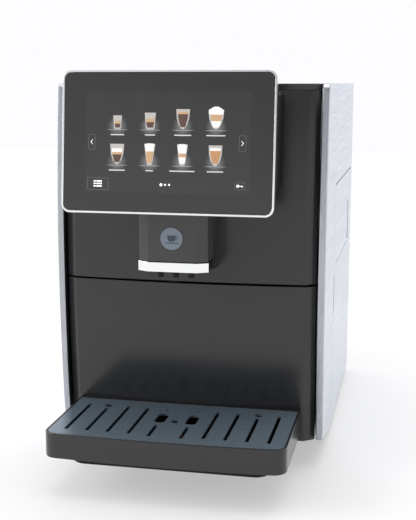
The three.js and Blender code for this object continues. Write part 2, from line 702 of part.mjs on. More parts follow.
function drawer() {
  const bottom = baseTop + running;
  const front = panelReturn + gap;
  const box = block([-cradleHalf - 4, cradleHalf + 4], [front, cradleBack], [bottom, bottom + cradleTall]);
  const room = block(
    [-cradleHalf, cradleHalf],
    [front + sheet, cradleBack - sheet],
    [bottom + sheet, bottom + cradleTall + 1],
  );
  const runner = block([-tongueHalf, tongueHalf], [-30, front + 2 * sheet], [bottom, frontFoot - gap]);
  const shelf = raise(
    rounded([
      [-tongueHalf, -shelfReach, tongueRound],
      [tongueHalf, -shelfReach, tongueRound],
      [tongueHalf, -24],
      [-tongueHalf, -24],
    ]),
    [bottom, trayBottom - gap],
    4,
  );
  add("drawer_cradle", join(cut(box, room), runner, shelf), materials.matteBlack);
  const binLow = bottom + sheet + gap;
  const binY = [front + sheet + 1.5, cradleBack - sheet - 1.5];
  const sized = (inset, z) => [
    [-binHalf + inset, binY[0] + inset, z],
    [binHalf - inset, binY[0] + inset, z],
    [binHalf - inset, binY[1] - inset, z],
    [-binHalf + inset, binY[1] - inset, z],
  ];
  const bin = loft([sized(3, binLow), sized(0, binTop)]);
  const inside = loft([sized(5.5, binLow + 2.5), sized(2.4, binTop + 1)]);
  add("grounds_bin", cut(bin, inside), materials.matteBlack);
}

// ---- beans and grinder --------------------------------------------------------------------------

const ringPoints = 24; // a multiple of 8, so that a rectangle's ring holds its corners
const ringAngles = steps(0, 2 * Math.PI, ringPoints).slice(0, -1);
const ringAround = (x, y, radius, z) =>
  ringAngles.map((a) => [x + radius * Math.cos(a), y + radius * Math.sin(a), z]);
// a rectangle with as many points as a ring, so that the two can be lofted
function rectangleRing(x, y, inset, z) {
  const [cx, cy] = [(x[0] + x[1]) / 2, (y[0] + y[1]) / 2];
  const [hx, hy] = [(x[1] - x[0]) / 2 - inset, (y[1] - y[0]) / 2 - inset];
  return ringAngles.map((a) => {
    const longer = Math.max(Math.abs(Math.cos(a)), Math.abs(Math.sin(a)));
    return [cx + (hx * Math.cos(a)) / longer, cy + (hy * Math.sin(a)) / longer, z];
  });
}

const lidTop = bodyHeight - gap;
const lidPlate = (x, y) => raise(rectangle(x, y, 1.5), [lidTop - lidThick, lidTop], 2);
// a pivot rod across a lid; its ends stand out as stubs
const lidStubs = (x, y, radius = stubRadius) =>
  rod(0, 0, radius, x, 12).rotateY(Math.PI / 2).translate(0, y, lidTop - lidThick / 2);

function beanHopper() {
  const low = grinder.high + gap;
  const rim = topLow - gap;
  const tray = block(
    [hopper.x[0] - 4, hopper.x[1] + 4],
    [hopper.y[0] - 4, hopper.y[1] + 4],
    [hopper.floor, rim],
  );
  const trayRoom = block(hopper.x, hopper.y, [hopper.floor + sheet, rim + 1]);
  const wall = hopper.wall;
  const outer = loft([
    ringAround(grinder.x, grinder.y, hopper.throat + 8, low),
    ringAround(grinder.x, grinder.y, hopper.throat + wall, low + 4),
    rectangleRing(funnel.x, funnel.y, 0, funnel.shoulder),
    rectangleRing(funnel.x, funnel.y, 0, hopper.floor + 1),
  ]);
  const inner = loft([
    ringAround(grinder.x, grinder.y, hopper.throat, low - 1),
    ringAround(grinder.x, grinder.y, hopper.throat, low + 4),
    rectangleRing(funnel.x, funnel.y, wall, funnel.shoulder),
    rectangleRing(funnel.x, funnel.y, wall, hopper.floor + 8),
  ]);
  const dialBore = rod(-3, 155, 3 + gap, [hopper.floor - 1, hopper.floor + 8]);
  add("bean_hopper", cut(join(cut(tray, trayRoom), outer), inner, dialBore), materials.smokedPlastic);

  const lidX = [hopper.x[0] + lidGap, hopper.x[1] - lidGap];
  const lidY = [hopper.y[0] + lidGap, hopper.y[1] - 2 * lidGap];
  const grip = raise(rectangle([45, 65], [lidY[0] + 6, lidY[0] + 16], 4), [lidTop - 2.5, lidTop + 1], 2);
  const stubs = lidStubs([hopper.x[0] - 2, hopper.x[1] + 2], lidY[1] - lidPivot);
  add("hopper_lid", cut(join(lidPlate(lidX, lidY), stubs), grip), materials.satinBlack);

  const knobLow = hopper.floor + sheet + gap;
  const knobTop = knobLow + 9;
  const stalk = [[0, 330], [3, 330], [3, knobLow]];
  const knob = turned(-3, 155, [...stalk, [11, knobLow], [10, knobTop], [0, knobTop]]);
  const pointer = block([-4, -2], [145, 153], [knobTop - 1.5, knobTop + 3]);
  add("grind_dial", cut(knob, pointer), materials.greyPlastic);
}

function grinderUnit() {
  const { x, y, radius, low, high, ledge: shelf } = grinder;
  const profile = [
    [5.5, low],
    [radius, low],
    [radius, high],
    [30.3, high],
    [30.3, shelf],
    [25, shelf],
    [25, low + 5],
    [5.5, low + 5],
    [5.5, low],
  ];
  const mouth = [chute.x, chute.top].map(([from, to]) => [from + chute.wall, to - chute.wall]);
  const outlet = block(...mouth, [low - 1, low + 8]);
  add("grinder_housing", cut(turned(x, y, profile, 24), outlet), materials.castAluminium);
  const seat = shelf + gap;
  const ring = [[21, seat], [30, seat], [30, shelf + 16], [16.5, shelf + 16], [21, seat]];
  add("upper_burr", turned(x, y, ring, 24), materials.steel);
  const shaft = [[0, 222], [5, 222], [5, low + 9]];
  const cone = [[19.5, low + 9], [15, shelf + 15], [6, shelf + 22], [0, shelf + 22]];
  add("lower_burr", turned(x, y, [...shaft, ...cone], 24), materials.steel);
  const gearbox = raise(rectangle([-12, 116], [122, 173], 10), [deckTop + gap, low - gap]);
  const motor = rod(12, 148, 22, [low - 2, 292], 28);
  const bore = rod(x, y, 5 + gap, [221, low + 1]);
  add("grinder_motor", cut(join(gearbox, motor), bore), materials.greyPlastic);
  add("coffee_chute", cut(chuteDuct(0), chuteDuct(chute.wall, 2)), materials.smokedPlastic);
}

// ---- water --------------------------------------------------------------------------------------

function waterSystem() {
  const { x, y, z, wall } = tank;
  const shell = raise(rectangle(x, y, 8), z, 4);
  const inside = raise(
    rectangle([x[0] + wall, x[1] - wall], [y[0] + wall, y[1] - wall], 8 - wall),
    [z[0] + wall, z[1] + 1],
    4,
  );
  const lidX = [x[0] + wall + gap, x[1] - wall - gap];
  const lidY = [y[0], y[1] - 2 * lidGap];
  const pivotY = lidY[1] - lidPivot;
  const earY = [pivotY - 5, pivotY + 2];
  const ears = [x[0], x[1] - wall].map((left) => block([left, left + wall], earY, [z[1] - 12, lidTop]));
  const sockets = lidStubs([x[0] - 1, x[1] + 1], pivotY, stubRadius + gap);
  add("water_tank", cut(join(cut(shell, inside), ...ears), sockets), materials.clearPlastic);
  const middle = (x[0] + x[1]) / 2;
  const gripPlan = rectangle([middle - 18, middle + 18], [y[0] + 10, y[0] + 24], 6);
  const grip = raise(gripPlan, [lidTop - 2.5, lidTop + 1]);
  const stubs = lidStubs([x[0] + gap, x[1] - gap], pivotY);
  add("tank_lid", cut(join(lidPlate(lidX, lidY), stubs), grip), materials.satinBlack);

  const seat = block([-innerHalf, wallX[0] - gap], [tank.y[0] - 7, rearFace - sheet - gap], seatZ);
  const stub = rod(drainX, drainY, 5, [seatZ[0] - 10, seatZ[0] + 1]);
  const drain = rod(drainX, drainY, 3, [seatZ[0] - 11, seatZ[1] + 1]);
  add("tank_seat", cut(join(seat, stub), drain), materials.greyPlastic);

  const coil = rodAlongY(pump.x, pump.z, 20, pump.y);
  const stem = rodAlongY(pump.x, pump.z, 5, [pumpOut, pump.y[1] + pump.nose]);
  const under = [pump.y[0] + 10, pump.y[1] - 10];
  const saddle = block([pump.x - 20, pump.x + 20], under, [baseTop + gap, pump.z]);
  add("water_pump", join(coil, stem, saddle), materials.greyPlastic);

  const heater = block([-135, -45], [50, 200], [deckTop + gap, 262]);
  const fins = steps(-124, -56, 4).map((x0) => block([x0 - 3, x0 + 3], [40, 210], [250, 270]));
  add("thermoblock", cut(heater, ...fins), materials.castAluminium);
}

function runHoses() {
  const section = new THREE.Shape();
  section.absarc(0, 0, hoseRadius, 0, 2 * Math.PI);
  for (const [name, points] of Object.entries(hoses)) {
    const path = new THREE.CatmullRomCurve3(points.map((p) => new THREE.Vector3(...p)));
    const stretches = Math.ceil(path.getLength() / (2.5 * 2 * hoseRadius));
    const options = { steps: stretches, extrudePath: path, curveSegments: 4 };
    add(name, new THREE.ExtrudeGeometry(section, options), materials.silicone);
  }
}

// ---- brew group ---------------------------------------------------------------------------------

function brewGroup() {
  const { x, y, bore, wall, low, high, spindleX } = brew;
  const outer = bore + wall;
  const left = 30;
  const right = 133;
  const shelfTop = 123;
  const frameTop = 206;
  const floorTop = baseTop + gap + 5;
  const wallY = [268, 273];
  const plates = [
    block([left, right], wallY, [baseTop + gap, frameTop]),
    block([left, right], [185, wallY[0] + 1], [baseTop + gap, floorTop]),
    block([left, right], [185, wallY[0] + 1], [shelfTop - 5, shelfTop]),
    block([left, right], [205, wallY[0] + 1], [frameTop - 5, frameTop]),
  ];
  const cylinderHole = rod(x, y, outer + gap, [shelfTop - 6, shelfTop + 1], 24);
  const spindleHole = rod(spindleX, y, 5, [shelfTop - 6, shelfTop + 1]);
  const rodHole = rod(x, y, brew.rod + gap, [frameTop - 6, frameTop + 1]);
  add("brew_frame", cut(join(...plates), cylinderHole, spindleHole, rodHole), materials.whitePlastic);

  const tube = [
    [bore, low],
    [outer, low],
    [outer, shelfTop + gap],
    [outer + 3, shelfTop + gap],
    [outer + 3, shelfTop + 3],
    [outer, shelfTop + 3],
    [outer, high - 10],
    [outer + 9, high],
    [outer + 6, high],
    [bore, high - 8],
    [bore, low],
  ];
  add("brew_cylinder", turned(x, y, tube, 24), materials.steel);
  const rodTop = deckTop + 20;
  const face = bore - 0.6;
  const head = [[0, 178], [face, 178], [face, 186], [brew.rod, 190], [brew.rod, rodTop], [0, rodTop]];
  add("upper_piston", turned(x, y, head, 24), materials.steel);

  const armZ = [60, 68];
  const piston = turned(
    x,
    y,
    [[0, armZ[0]], [6, armZ[0]], [6, low + 4], [face, low + 4], [face, low + 14], [0, low + 14]],
    24,
  );
  const arm = block([x, spindleX], [y - 6, y + 6], armZ);
  const nut = rod(spindleX, y, 9, [armZ[0] - 4, armZ[1] + 4], 18);
  const nutBore = rod(spindleX, y, 4 + gap, [armZ[0] - 5, armZ[1] + 5], 18);
  add("lower_piston", cut(join(piston, arm, nut), nutBore), materials.whitePlastic);

  const boxTop = 50;
  const [shoulder, tip] = [boxTop + gap, frameTop - 5 - gap];
  const spindle = [[0, 36], [2.5, 36], [2.5, shoulder], [4, shoulder], [4, tip], [0, tip]];
  add("brew_spindle", turned(spindleX, y, spindle, 16), materials.steel);
  const box = block([100, right - 1], [205, 245], [floorTop + gap, boxTop]);
  const motor = rod(0, 0, 11, [0, 56]).rotateY(Math.PI / 2).translate(45, y, floorTop + gap + 12);
  const shaftBore = rod(spindleX, y, 2.5 + gap, [35.7, boxTop + 1]);
  add("brew_gearbox", cut(join(box, motor), shaftBore), materials.greyPlastic);
}

function powerBoard() {
  const back = rearFace - sheet - gap;
  const board = block([0, 120], [back - 1.6, back], [292, 302]);
  const plate = block([0, 120], [back - 1.6, back], [232, 382]);
  const sink = block([12, 62], [back - 16, back - 1], [250, 300]);
  const coil = block([75, 105], [back - 20, back - 1], [330, 360]);
  add("power_board", join(plate, board, sink, coil), materials.circuitBoard);
}

basePan();
feet();
trims();
sidePanels();
serviceDoor();
frontPanels();
topCover();
rearPanel();
powerInlet();
chassis();
touchScreen();
headHousing();
spoutGuide();
spout();
dripTray();
dripGrille();
trayFloat();
drawer();
beanHopper();
grinderUnit();
waterSystem();
runHoses();
brewGroup();
powerBoard();

export default machine;
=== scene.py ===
import json
import math

import bmesh
import bpy
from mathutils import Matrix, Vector


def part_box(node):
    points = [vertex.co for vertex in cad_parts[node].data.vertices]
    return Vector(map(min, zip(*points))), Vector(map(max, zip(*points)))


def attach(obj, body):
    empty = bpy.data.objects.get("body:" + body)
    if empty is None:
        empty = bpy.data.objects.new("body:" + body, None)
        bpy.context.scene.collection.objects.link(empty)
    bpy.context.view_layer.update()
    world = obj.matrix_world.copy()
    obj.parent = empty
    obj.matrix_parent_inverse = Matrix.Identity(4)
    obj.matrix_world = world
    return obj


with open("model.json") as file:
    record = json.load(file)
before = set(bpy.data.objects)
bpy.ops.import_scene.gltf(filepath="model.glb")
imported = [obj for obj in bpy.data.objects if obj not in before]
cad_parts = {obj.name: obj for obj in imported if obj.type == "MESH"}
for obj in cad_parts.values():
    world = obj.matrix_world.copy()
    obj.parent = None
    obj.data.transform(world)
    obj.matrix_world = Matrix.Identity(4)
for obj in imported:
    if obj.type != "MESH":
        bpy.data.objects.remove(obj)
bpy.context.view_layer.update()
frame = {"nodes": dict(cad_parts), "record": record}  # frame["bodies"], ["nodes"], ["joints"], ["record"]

mm = 0.001
nodes = frame["nodes"]
print("frame loaded:", len(nodes), "nodes")

studio = {
    "camera": (0.2424, -1.1827, 0.4233),
    "lookDown": 10.15,
    "lookLeft": 11.87,
    "lens": 68.79,
    "floorReach": 5.0,
    "floorPaint": "#f2f2f3",
    "floorFade": (0.45, 1.1),  # metres from the machine, where the paint goes over to white
    "floorOwn": 0.45,  # share of that white near the machine, which thins its shadow
    "behind": 1.0,  # brightness of the white wall behind the machine
    "frontLeft": 0.8,  # and of the room in front, on either hand
    "frontRight": 0.12,
    "handBlend": (-0.6, 0.5),  # from left to right, across the front of the room
    "backBlend": (-0.25, 0.15),  # from front to back
    "horizonBlend": (0.08, 0.22),  # below this height the room is white all round
    "lamps": {  # place and size in metres, watts
        "windowLeft": ((-2.2, -0.9, 1.2), 1.3, 30),
        "ceiling": ((0.2, 0.3, 2.4), 2.2, 34),
    },
}


def colour(code):
    # an sRGB hex value as the linear colour that shaders take
    parts = [int(code[i:i + 2], 16) / 255 for i in (1, 3, 5)]
    return [p / 12.92 if p <= 0.04045 else ((p + 0.055) / 1.055) ** 2.4 for p in parts] + [1.0]


def addNode(tree, kind, inputs=None, **settings):
    # one node with its settings; an input is a value, or a socket to link from
    node = tree.nodes.new(kind)
    for key, value in settings.items():
        setattr(node, key, value)
    for key, value in (inputs or {}).items():
        if isinstance(value, bpy.types.NodeSocket):
            tree.links.new(value, node.inputs[key])
        else:
            node.inputs[key].default_value = value
    return node.outputs


def buildStudio():
    bpy.ops.object.select_all(action="DESELECT")
    bpy.ops.mesh.primitive_plane_add(size=2 * studio["floorReach"])
    floor = bpy.context.object
    floor.name = "studioFloor"
    paint = bpy.data.materials.new("mattWhitePaint")
    paint.use_nodes = True
    tree = paint.node_tree
    shader = tree.nodes["Principled BSDF"]
    shader.inputs["Base Color"].default_value = colour(studio["floorPaint"])
    shader.inputs["Roughness"].default_value = 0.7
    place = addNode(tree, "ShaderNodeTexCoord")["Object"]
    far = addNode(tree, "ShaderNodeVectorMath", {0: place}, operation="LENGTH")
    near, gone = studio["floorFade"]
    share = addNode(tree, "ShaderNodeMapRange", {
        "Value": far["Value"], "From Min": near, "From Max": gone,
        "To Min": studio["floorOwn"]}, interpolation_type="SMOOTHSTEP")
    white = addNode(tree, "ShaderNodeEmission", {"Strength": studio["behind"]})
    surface = addNode(tree, "ShaderNodeMixShader", {
        0: share["Result"], 1: shader.outputs[0], 2: white[0]})
    tree.links.new(surface[0], tree.nodes["Material Output"].inputs["Surface"])
    floor.data.materials.append(paint)

    air = bpy.data.worlds.new("studioAir")
    air.use_nodes = True
    bpy.context.scene.world = air
    tree = air.node_tree
    way = addNode(tree, "ShaderNodeTexCoord")["Generated"]
    split = addNode(tree, "ShaderNodeSeparateXYZ", {"Vector": way})
    low, high = studio["handBlend"]
    hand = addNode(tree, "ShaderNodeMapRange", {
        "Value": split["X"], "From Min": low, "From Max": high,
        "To Min": studio["frontLeft"], "To Max": studio["frontRight"]}, interpolation_type="SMOOTHSTEP")
    low, high = studio["backBlend"]
    back = addNode(tree, "ShaderNodeMapRange", {
        "Value": split["Y"], "From Min": low, "From Max": high}, interpolation_type="SMOOTHSTEP")
    glow = addNode(tree, "ShaderNodeMix", {
        0: back["Result"], 2: hand["Result"], 3: studio["behind"]}, data_type="FLOAT")
    low, high = studio["horizonBlend"]
    above = addNode(tree, "ShaderNodeMapRange", {
        "Value": split["Z"], "From Min": low, "From Max": high}, interpolation_type="SMOOTHSTEP")
    glow = addNode(tree, "ShaderNodeMix", {
        0: above["Result"], 2: studio["behind"], 3: glow[0]}, data_type="FLOAT")
    tree.links.new(glow[0], tree.nodes["Background"].inputs["Strength"])
    tree.nodes["Background"].inputs["Color"].default_value = colour("#fdfdff")

    for name, (place, size, watts) in studio["lamps"].items():
        bpy.ops.object.light_add(type="AREA", location=place)
        lamp = bpy.context.object
        lamp.name = name
        lamp.data.size = size
        lamp.data.energy = watts
        lamp.rotation_euler = (Vector((0, 0, 0.2)) - Vector(place)).to_track_quat("-Z", "Y").to_euler()

    bpy.ops.object.camera_add(location=studio["camera"], rotation=(
        math.radians(90 - studio["lookDown"]), 0, math.radians(studio["lookLeft"])))
    camera = bpy.context.object
    camera.data.lens = studio["lens"]
    camera.data.sensor_width = 36
    camera.data.clip_start = 0.05
    bpy.context.scene.camera = camera
    bpy.context.scene.view_settings.view_transform = "Standard"  # so that white paint stays white


buildStudio()
print("studio built")


def startMaterial(name, base, roughness, metallic=0.0, ior=1.5):
    material = bpy.data.materials.new(name)
    material.use_nodes = True
    material.diffuse_color = colour(base)
    tree = material.node_tree
    shader = tree.nodes["Principled BSDF"].inputs
    shader["Base Color"].default_value = colour(base)
    shader["Roughness"].default_value = roughness
    shader["Metallic"].default_value = metallic
    if not metallic:
        shader["IOR"].default_value = ior
    place = addNode(tree, "ShaderNodeTexCoord")["Object"]
    return material, tree, shader, place


def per(*sizes):
    # a Mapping node's scale for a pattern of these sizes in millimetres
    return [1 / (size * mm) for size in sizes]


def satinLacquer(name, dark, light, smooth, rough):
    # ABS covers under a satin lacquer: an even charcoal with broad soft highlights, a faint orange
    # peel 1.6 mm across, and slightly more sheen in some places than in others
    material, tree, shader, place = startMaterial(name, light, smooth, ior=1.52)
    small = addNode(tree, "ShaderNodeMapping", {"Vector": place, "Scale": per(1.6, 1.6, 1.6)})
    peel = addNode(tree, "ShaderNodeTexNoise", {"Vector": small["Vector"], "Scale": 1.0, "Detail": 2.0})
    large = addNode(tree, "ShaderNodeMapping", {"Vector": place, "Scale": per(60, 60, 60)})
    patch = addNode(tree, "ShaderNodeTexNoise", {
        "Vector": large["Vector"], "Scale": 1.0, "Detail": 2.0})
    sheen = addNode(tree, "ShaderNodeMapRange", {
        "Value": patch["Fac"], "To Min": smooth, "To Max": rough})
    tree.links.new(sheen["Result"], shader["Roughness"])
    shade = addNode(tree, "ShaderNodeMix", {
        0: patch["Fac"], 6: colour(dark), 7: colour(light)}, data_type="RGBA")
    tree.links.new(shade[2], shader["Base Color"])
    bump = addNode(tree, "ShaderNodeBump", {
        "Height": peel["Fac"], "Strength": 0.05, "Distance": 0.05 * mm})
    tree.links.new(bump["Normal"], shader["Normal"])
    return material


def sparkTexturedAbs():
    # unpainted ABS from a spark-eroded mould: dull black, a fine even grain of 0.7 mm that breaks
    # up every highlight
    material, tree, shader, place = startMaterial("sparkTexturedAbs", "#141415", 0.55, ior=1.54)
    shader["Specular IOR Level"].default_value = 0.25  # its pits swallow half of the reflection
    small = addNode(tree, "ShaderNodeMapping", {"Vector": place, "Scale": per(0.7, 0.7, 0.7)})
    grain = addNode(tree, "ShaderNodeTexNoise", {
        "Vector": small["Vector"], "Scale": 1.0, "Detail": 3.0})
    shade = addNode(tree, "ShaderNodeMix", {
        0: grain["Fac"], 6: colour("#09090a"), 7: colour("#121213")}, data_type="RGBA")
    tree.links.new(shade[2], shader["Base Color"])
    dull = addNode(tree, "ShaderNodeMapRange", {"Value": grain["Fac"], "To Min": 0.46, "To Max": 0.62})
    tree.links.new(dull["Result"], shader["Roughness"])
    bump = addNode(tree, "ShaderNodeBump", {
        "Height": grain["Fac"], "Strength": 0.25, "Distance": 0.08 * mm})
    tree.links.new(bump["Normal"], shader["Normal"])
    return material


def brushedAluminium(name, fineStroke, broadStroke, dark, light):
    # sheet aluminium, belt brushed and clear anodised: a pale satin metal with straight strokes.
    # Real strokes are 0.1 mm wide; these are 0.5 and 2 mm, coarse enough to show
    material, tree, shader, place = startMaterial(name, light, 0.34, metallic=1.0)
    narrow = addNode(tree, "ShaderNodeMapping", {"Vector": place, "Scale": per(*fineStroke)})
    fine = addNode(tree, "ShaderNodeTexNoise", {
        "Vector": narrow["Vector"], "Scale": 1.0, "Detail": 4.0})
    wide = addNode(tree, "ShaderNodeMapping", {"Vector": place, "Scale": per(*broadStroke)})
    broad = addNode(tree, "ShaderNodeTexNoise", {"Vector": wide["Vector"], "Scale": 1.0, "Detail": 2.0})
    both = addNode(tree, "ShaderNodeMix", {0: 0.22, 2: fine["Fac"], 3: broad["Fac"]}, data_type="FLOAT")
    steep = addNode(tree, "ShaderNodeMapRange", {"Value": both[0], "From Min": 0.36, "From Max": 0.64})
    shade = addNode(tree, "ShaderNodeMix", {
        0: steep["Result"], 6: colour(dark), 7: colour(light)}, data_type="RGBA")
    tree.links.new(shade[2], shader["Base Color"])
    gloss = addNode(tree, "ShaderNodeMapRange", {
        "Value": steep["Result"], "To Min": 0.42, "To Max": 0.28})
    tree.links.new(gloss["Result"], shader["Roughness"])
    bump = addNode(tree, "ShaderNodeBump", {"Height": both[0], "Strength": 0.06, "Distance": 0.04 * mm})
    tree.links.new(bump["Normal"], shader["Normal"])
    return material


def brightMetal(name, shine):
    # chrome plating or polished aluminium: a clean mirror, with the softest ripple of what is under it
    material, tree, shader, place = startMaterial(name, shine, 0.08, metallic=1.0)
    wavy = addNode(tree, "ShaderNodeMapping", {"Vector": place, "Scale": per(9, 9, 9)})
    ripple = addNode(tree, "ShaderNodeTexNoise", {
        "Vector": wavy["Vector"], "Scale": 1.0, "Detail": 1.0})
    gloss = addNode(tree, "ShaderNodeMapRange", {
        "Value": ripple["Fac"], "To Min": 0.06, "To Max": 0.13})
    tree.links.new(gloss["Result"], shader["Roughness"])
    bump = addNode(tree, "ShaderNodeBump", {
        "Height": ripple["Fac"], "Strength": 0.06, "Distance": 0.05 * mm})
    tree.links.new(bump["Normal"], shader["Normal"])
    return material


def coverGlass():
    # soda-lime cover glass, printed dark grey on its back: one smooth gloss with faint finger smears
    material, tree, shader, place = startMaterial("backPrintedGlass", "#333334", 0.12, ior=1.52)
    smudge = addNode(tree, "ShaderNodeMapping", {"Vector": place, "Scale": per(24, 24, 38)})
    smear = addNode(tree, "ShaderNodeTexNoise", {
        "Vector": smudge["Vector"], "Scale": 1.0, "Detail": 3.0})
    gloss = addNode(tree, "ShaderNodeMapRange", {"Value": smear["Fac"], "To Min": 0.08, "To Max": 0.18})
    tree.links.new(gloss["Result"], shader["Roughness"])
    shade = addNode(tree, "ShaderNodeMix", {
        0: smear["Fac"], 6: colour("#303031"), 7: colour("#353536")}, data_type="RGBA")
    tree.links.new(shade[2], shader["Base Color"])
    return material


def coatedSteel():
    # stainless sheet under a blue-grey coat: a soft sheen, grained from side to side, half mirror
    # and half paint
    material, tree, shader, place = startMaterial("blueCoatedSteel", "#788895", 0.3, metallic=0.5)
    long = addNode(tree, "ShaderNodeMapping", {"Vector": place, "Scale": per(30, 0.6, 0.6)})
    grain = addNode(tree, "ShaderNodeTexNoise", {"Vector": long["Vector"], "Scale": 1.0, "Detail": 3.0})
    shade = addNode(tree, "ShaderNodeMix", {
        0: grain["Fac"], 6: colour("#6f7f8b"), 7: colour("#8292a0")}, data_type="RGBA")
    tree.links.new(shade[2], shader["Base Color"])
    gloss = addNode(tree, "ShaderNodeMapRange", {"Value": grain["Fac"], "To Min": 0.24, "To Max": 0.34})
    tree.links.new(gloss["Result"], shader["Roughness"])
    bump = addNode(tree, "ShaderNodeBump", {
        "Height": grain["Fac"], "Strength": 0.06, "Distance": 0.03 * mm})
    tree.links.new(bump["Normal"], shader["Normal"])
    return material


def plainMoulding(name, dark, light, roughness, grainSize, ior, strength=0.12):
    # plain moulded plastic or rubber: nearly one colour, with its mould's faint grain
    material, tree, shader, place = startMaterial(name, light, roughness, ior=ior)
    small = addNode(tree, "ShaderNodeMapping", {
        "Vector": place, "Scale": per(grainSize, grainSize, grainSize)})
    grain = addNode(tree, "ShaderNodeTexNoise", {
        "Vector": small["Vector"], "Scale": 1.0, "Detail": 2.0})
    shade = addNode(tree, "ShaderNodeMix", {
        0: grain["Fac"], 6: colour(dark), 7: colour(light)}, data_type="RGBA")
    tree.links.new(shade[2], shader["Base Color"])
    dull = addNode(tree, "ShaderNodeMapRange", {
        "Value": grain["Fac"], "To Min": roughness - 0.06, "To Max": roughness + 0.06})
    tree.links.new(dull["Result"], shader["Roughness"])
    bump = addNode(tree, "ShaderNodeBump", {
        "Height": grain["Fac"], "Strength": strength, "Distance": 0.06 * mm})
    tree.links.new(bump["Normal"], shader["Normal"])
    return material


def clearSan(name, base, clearness, roughness):
    # SAN, a clear moulding plastic: see-through, with faint flow ripples
    material, tree, shader, place = startMaterial(name, base, roughness, ior=1.57)
    shader["Transmission Weight"].default_value = clearness
    wavy = addNode(tree, "ShaderNodeMapping", {"Vector": place, "Scale": per(20, 20, 7)})
    flow = addNode(tree, "ShaderNodeTexNoise", {"Vector": wavy["Vector"], "Scale": 1.0, "Detail": 1.0})
    haze = addNode(tree, "ShaderNodeMapRange", {
        "Value": flow["Fac"], "To Min": roughness, "To Max": roughness + 0.08})
    tree.links.new(haze["Result"], shader["Roughness"])
    bump = addNode(tree, "ShaderNodeBump", {
        "Height": flow["Fac"], "Strength": 0.08, "Distance": 0.1 * mm})
    tree.links.new(bump["Normal"], shader["Normal"])
    return material


def turnedSteel():
    # stainless turned on a lathe: rings 0.5 mm apart across the axis, light and dark by turns
    material, tree, shader, place = startMaterial("turnedStainless", "#b9bbbf", 0.28, metallic=1.0)
    flat = addNode(tree, "ShaderNodeMapping", {"Vector": place, "Scale": per(40, 40, 0.5)})
    rings = addNode(tree, "ShaderNodeTexNoise", {"Vector": flat["Vector"], "Scale": 1.0, "Detail": 2.0})
    shade = addNode(tree, "ShaderNodeMix", {
        0: rings["Fac"], 6: colour("#9a9da2"), 7: colour("#d2d4d8")}, data_type="RGBA")
    tree.links.new(shade[2], shader["Base Color"])
    gloss = addNode(tree, "ShaderNodeMapRange", {"Value": rings["Fac"], "To Min": 0.2, "To Max": 0.38})
    tree.links.new(gloss["Result"], shader["Roughness"])
    bump = addNode(tree, "ShaderNodeBump", {
        "Height": rings["Fac"], "Strength": 0.2, "Distance": 0.06 * mm})
    tree.links.new(bump["Normal"], shader["Normal"])
    return material


def castAluminium():
    # die-cast aluminium as it leaves the die: a dull grey skin with a coarse speckle
    material, tree, shader, place = startMaterial("dieCastAluminium", "#94979b", 0.52, metallic=1.0)
    small = addNode(tree, "ShaderNodeMapping", {"Vector": place, "Scale": per(1.4, 1.4, 1.4)})
    skin = addNode(tree, "ShaderNodeTexNoise", {"Vector": small["Vector"], "Scale": 1.0, "Detail": 4.0})
    shade = addNode(tree, "ShaderNodeMix", {
        0: skin["Fac"], 6: colour("#83868a"), 7: colour("#a9acb0")}, data_type="RGBA")
    tree.links.new(shade[2], shader["Base Color"])
    dull = addNode(tree, "ShaderNodeMapRange", {"Value": skin["Fac"], "To Min": 0.42, "To Max": 0.62})
    tree.links.new(dull["Result"], shader["Roughness"])
    bump = addNode(tree, "ShaderNodeBump", {
        "Height": skin["Fac"], "Strength": 0.35, "Distance": 0.15 * mm})
    tree.links.new(bump["Normal"], shader["Normal"])
    return material


def circuitBoard():
    # glass-fibre board under green solder mask: copper tracks show as paler lines
    material, tree, shader, place = startMaterial("solderMaskedBoard", "#1b5a3a", 0.35, ior=1.55)
    upright = addNode(tree, "ShaderNodeMapping", {"Vector": place, "Rotation": (math.pi / 2, 0, 0)})
    tracks = addNode(tree, "ShaderNodeTexBrick", {
        "Vector": upright["Vector"], "Color1": colour("#1b5a3a"), "Color2": colour("#174d32"),
        "Mortar": colour("#3f8a5c"), "Scale": 60.0, "Mortar Size": 0.03, "Bias": 0.1})
    tree.links.new(tracks["Color"], shader["Base Color"])
    bump = addNode(tree, "ShaderNodeBump", {
        "Height": tracks["Fac"], "Strength": 0.2, "Distance": 0.05 * mm})
    tree.links.new(bump["Normal"], shader["Normal"])
    return material


finishes = {
    "satin_black": satinLacquer("satinLacqueredAbs", "#262627", "#2c2c2d", 0.17, 0.25),
    "matte_black": sparkTexturedAbs(),
    "brushed_aluminium": brushedAluminium(
        "sheetBrushedLengthwise", (0.5, 110, 0.5), (2.2, 160, 2.2), "#c3c9d3", "#e4e8f0"),
    "chrome": brightMetal("platedChrome", "#f6f7f8"),
    "screen_glass": coverGlass(),
    "tinted_steel": coatedSteel(),
    "rubber": plainMoulding("footRubber", "#0c0c0c", "#191919", 0.85, 1.2, 1.52, strength=0.3),
    "clear_plastic": clearSan("clearSan", "#cddbe2", 0.9, 0.05),
    "smoked_plastic": clearSan("smokedSan", "#4b4038", 0.7, 0.08),
    "white_plastic": plainMoulding("acetalWhite", "#d3d2cb", "#dfdeda", 0.42, 3.0, 1.48),
    "grey_plastic": plainMoulding("polypropyleneGrey", "#707376", "#808386", 0.5, 2.0, 1.49),
    "steel": turnedSteel(),
    "cast_aluminium": castAluminium(),
    "circuit_board": circuitBoard(),
    "silicone": plainMoulding("siliconeTube", "#dddad2", "#ebe8e1", 0.45, 5.0, 1.41),
    "badge": plainMoulding("badgePrint", "#707b86", "#7e8994", 0.38, 2.0, 1.5),
    "red_plastic": plainMoulding("signalRedAbs", "#a3201a", "#b92a21", 0.32, 2.0, 1.52),
}
uprightBrushed = brushedAluminium(
    "stripBrushedUpright", (0.5, 0.5, 90), (2.2, 2.2, 140), "#a7aab0", "#b9bcc2")
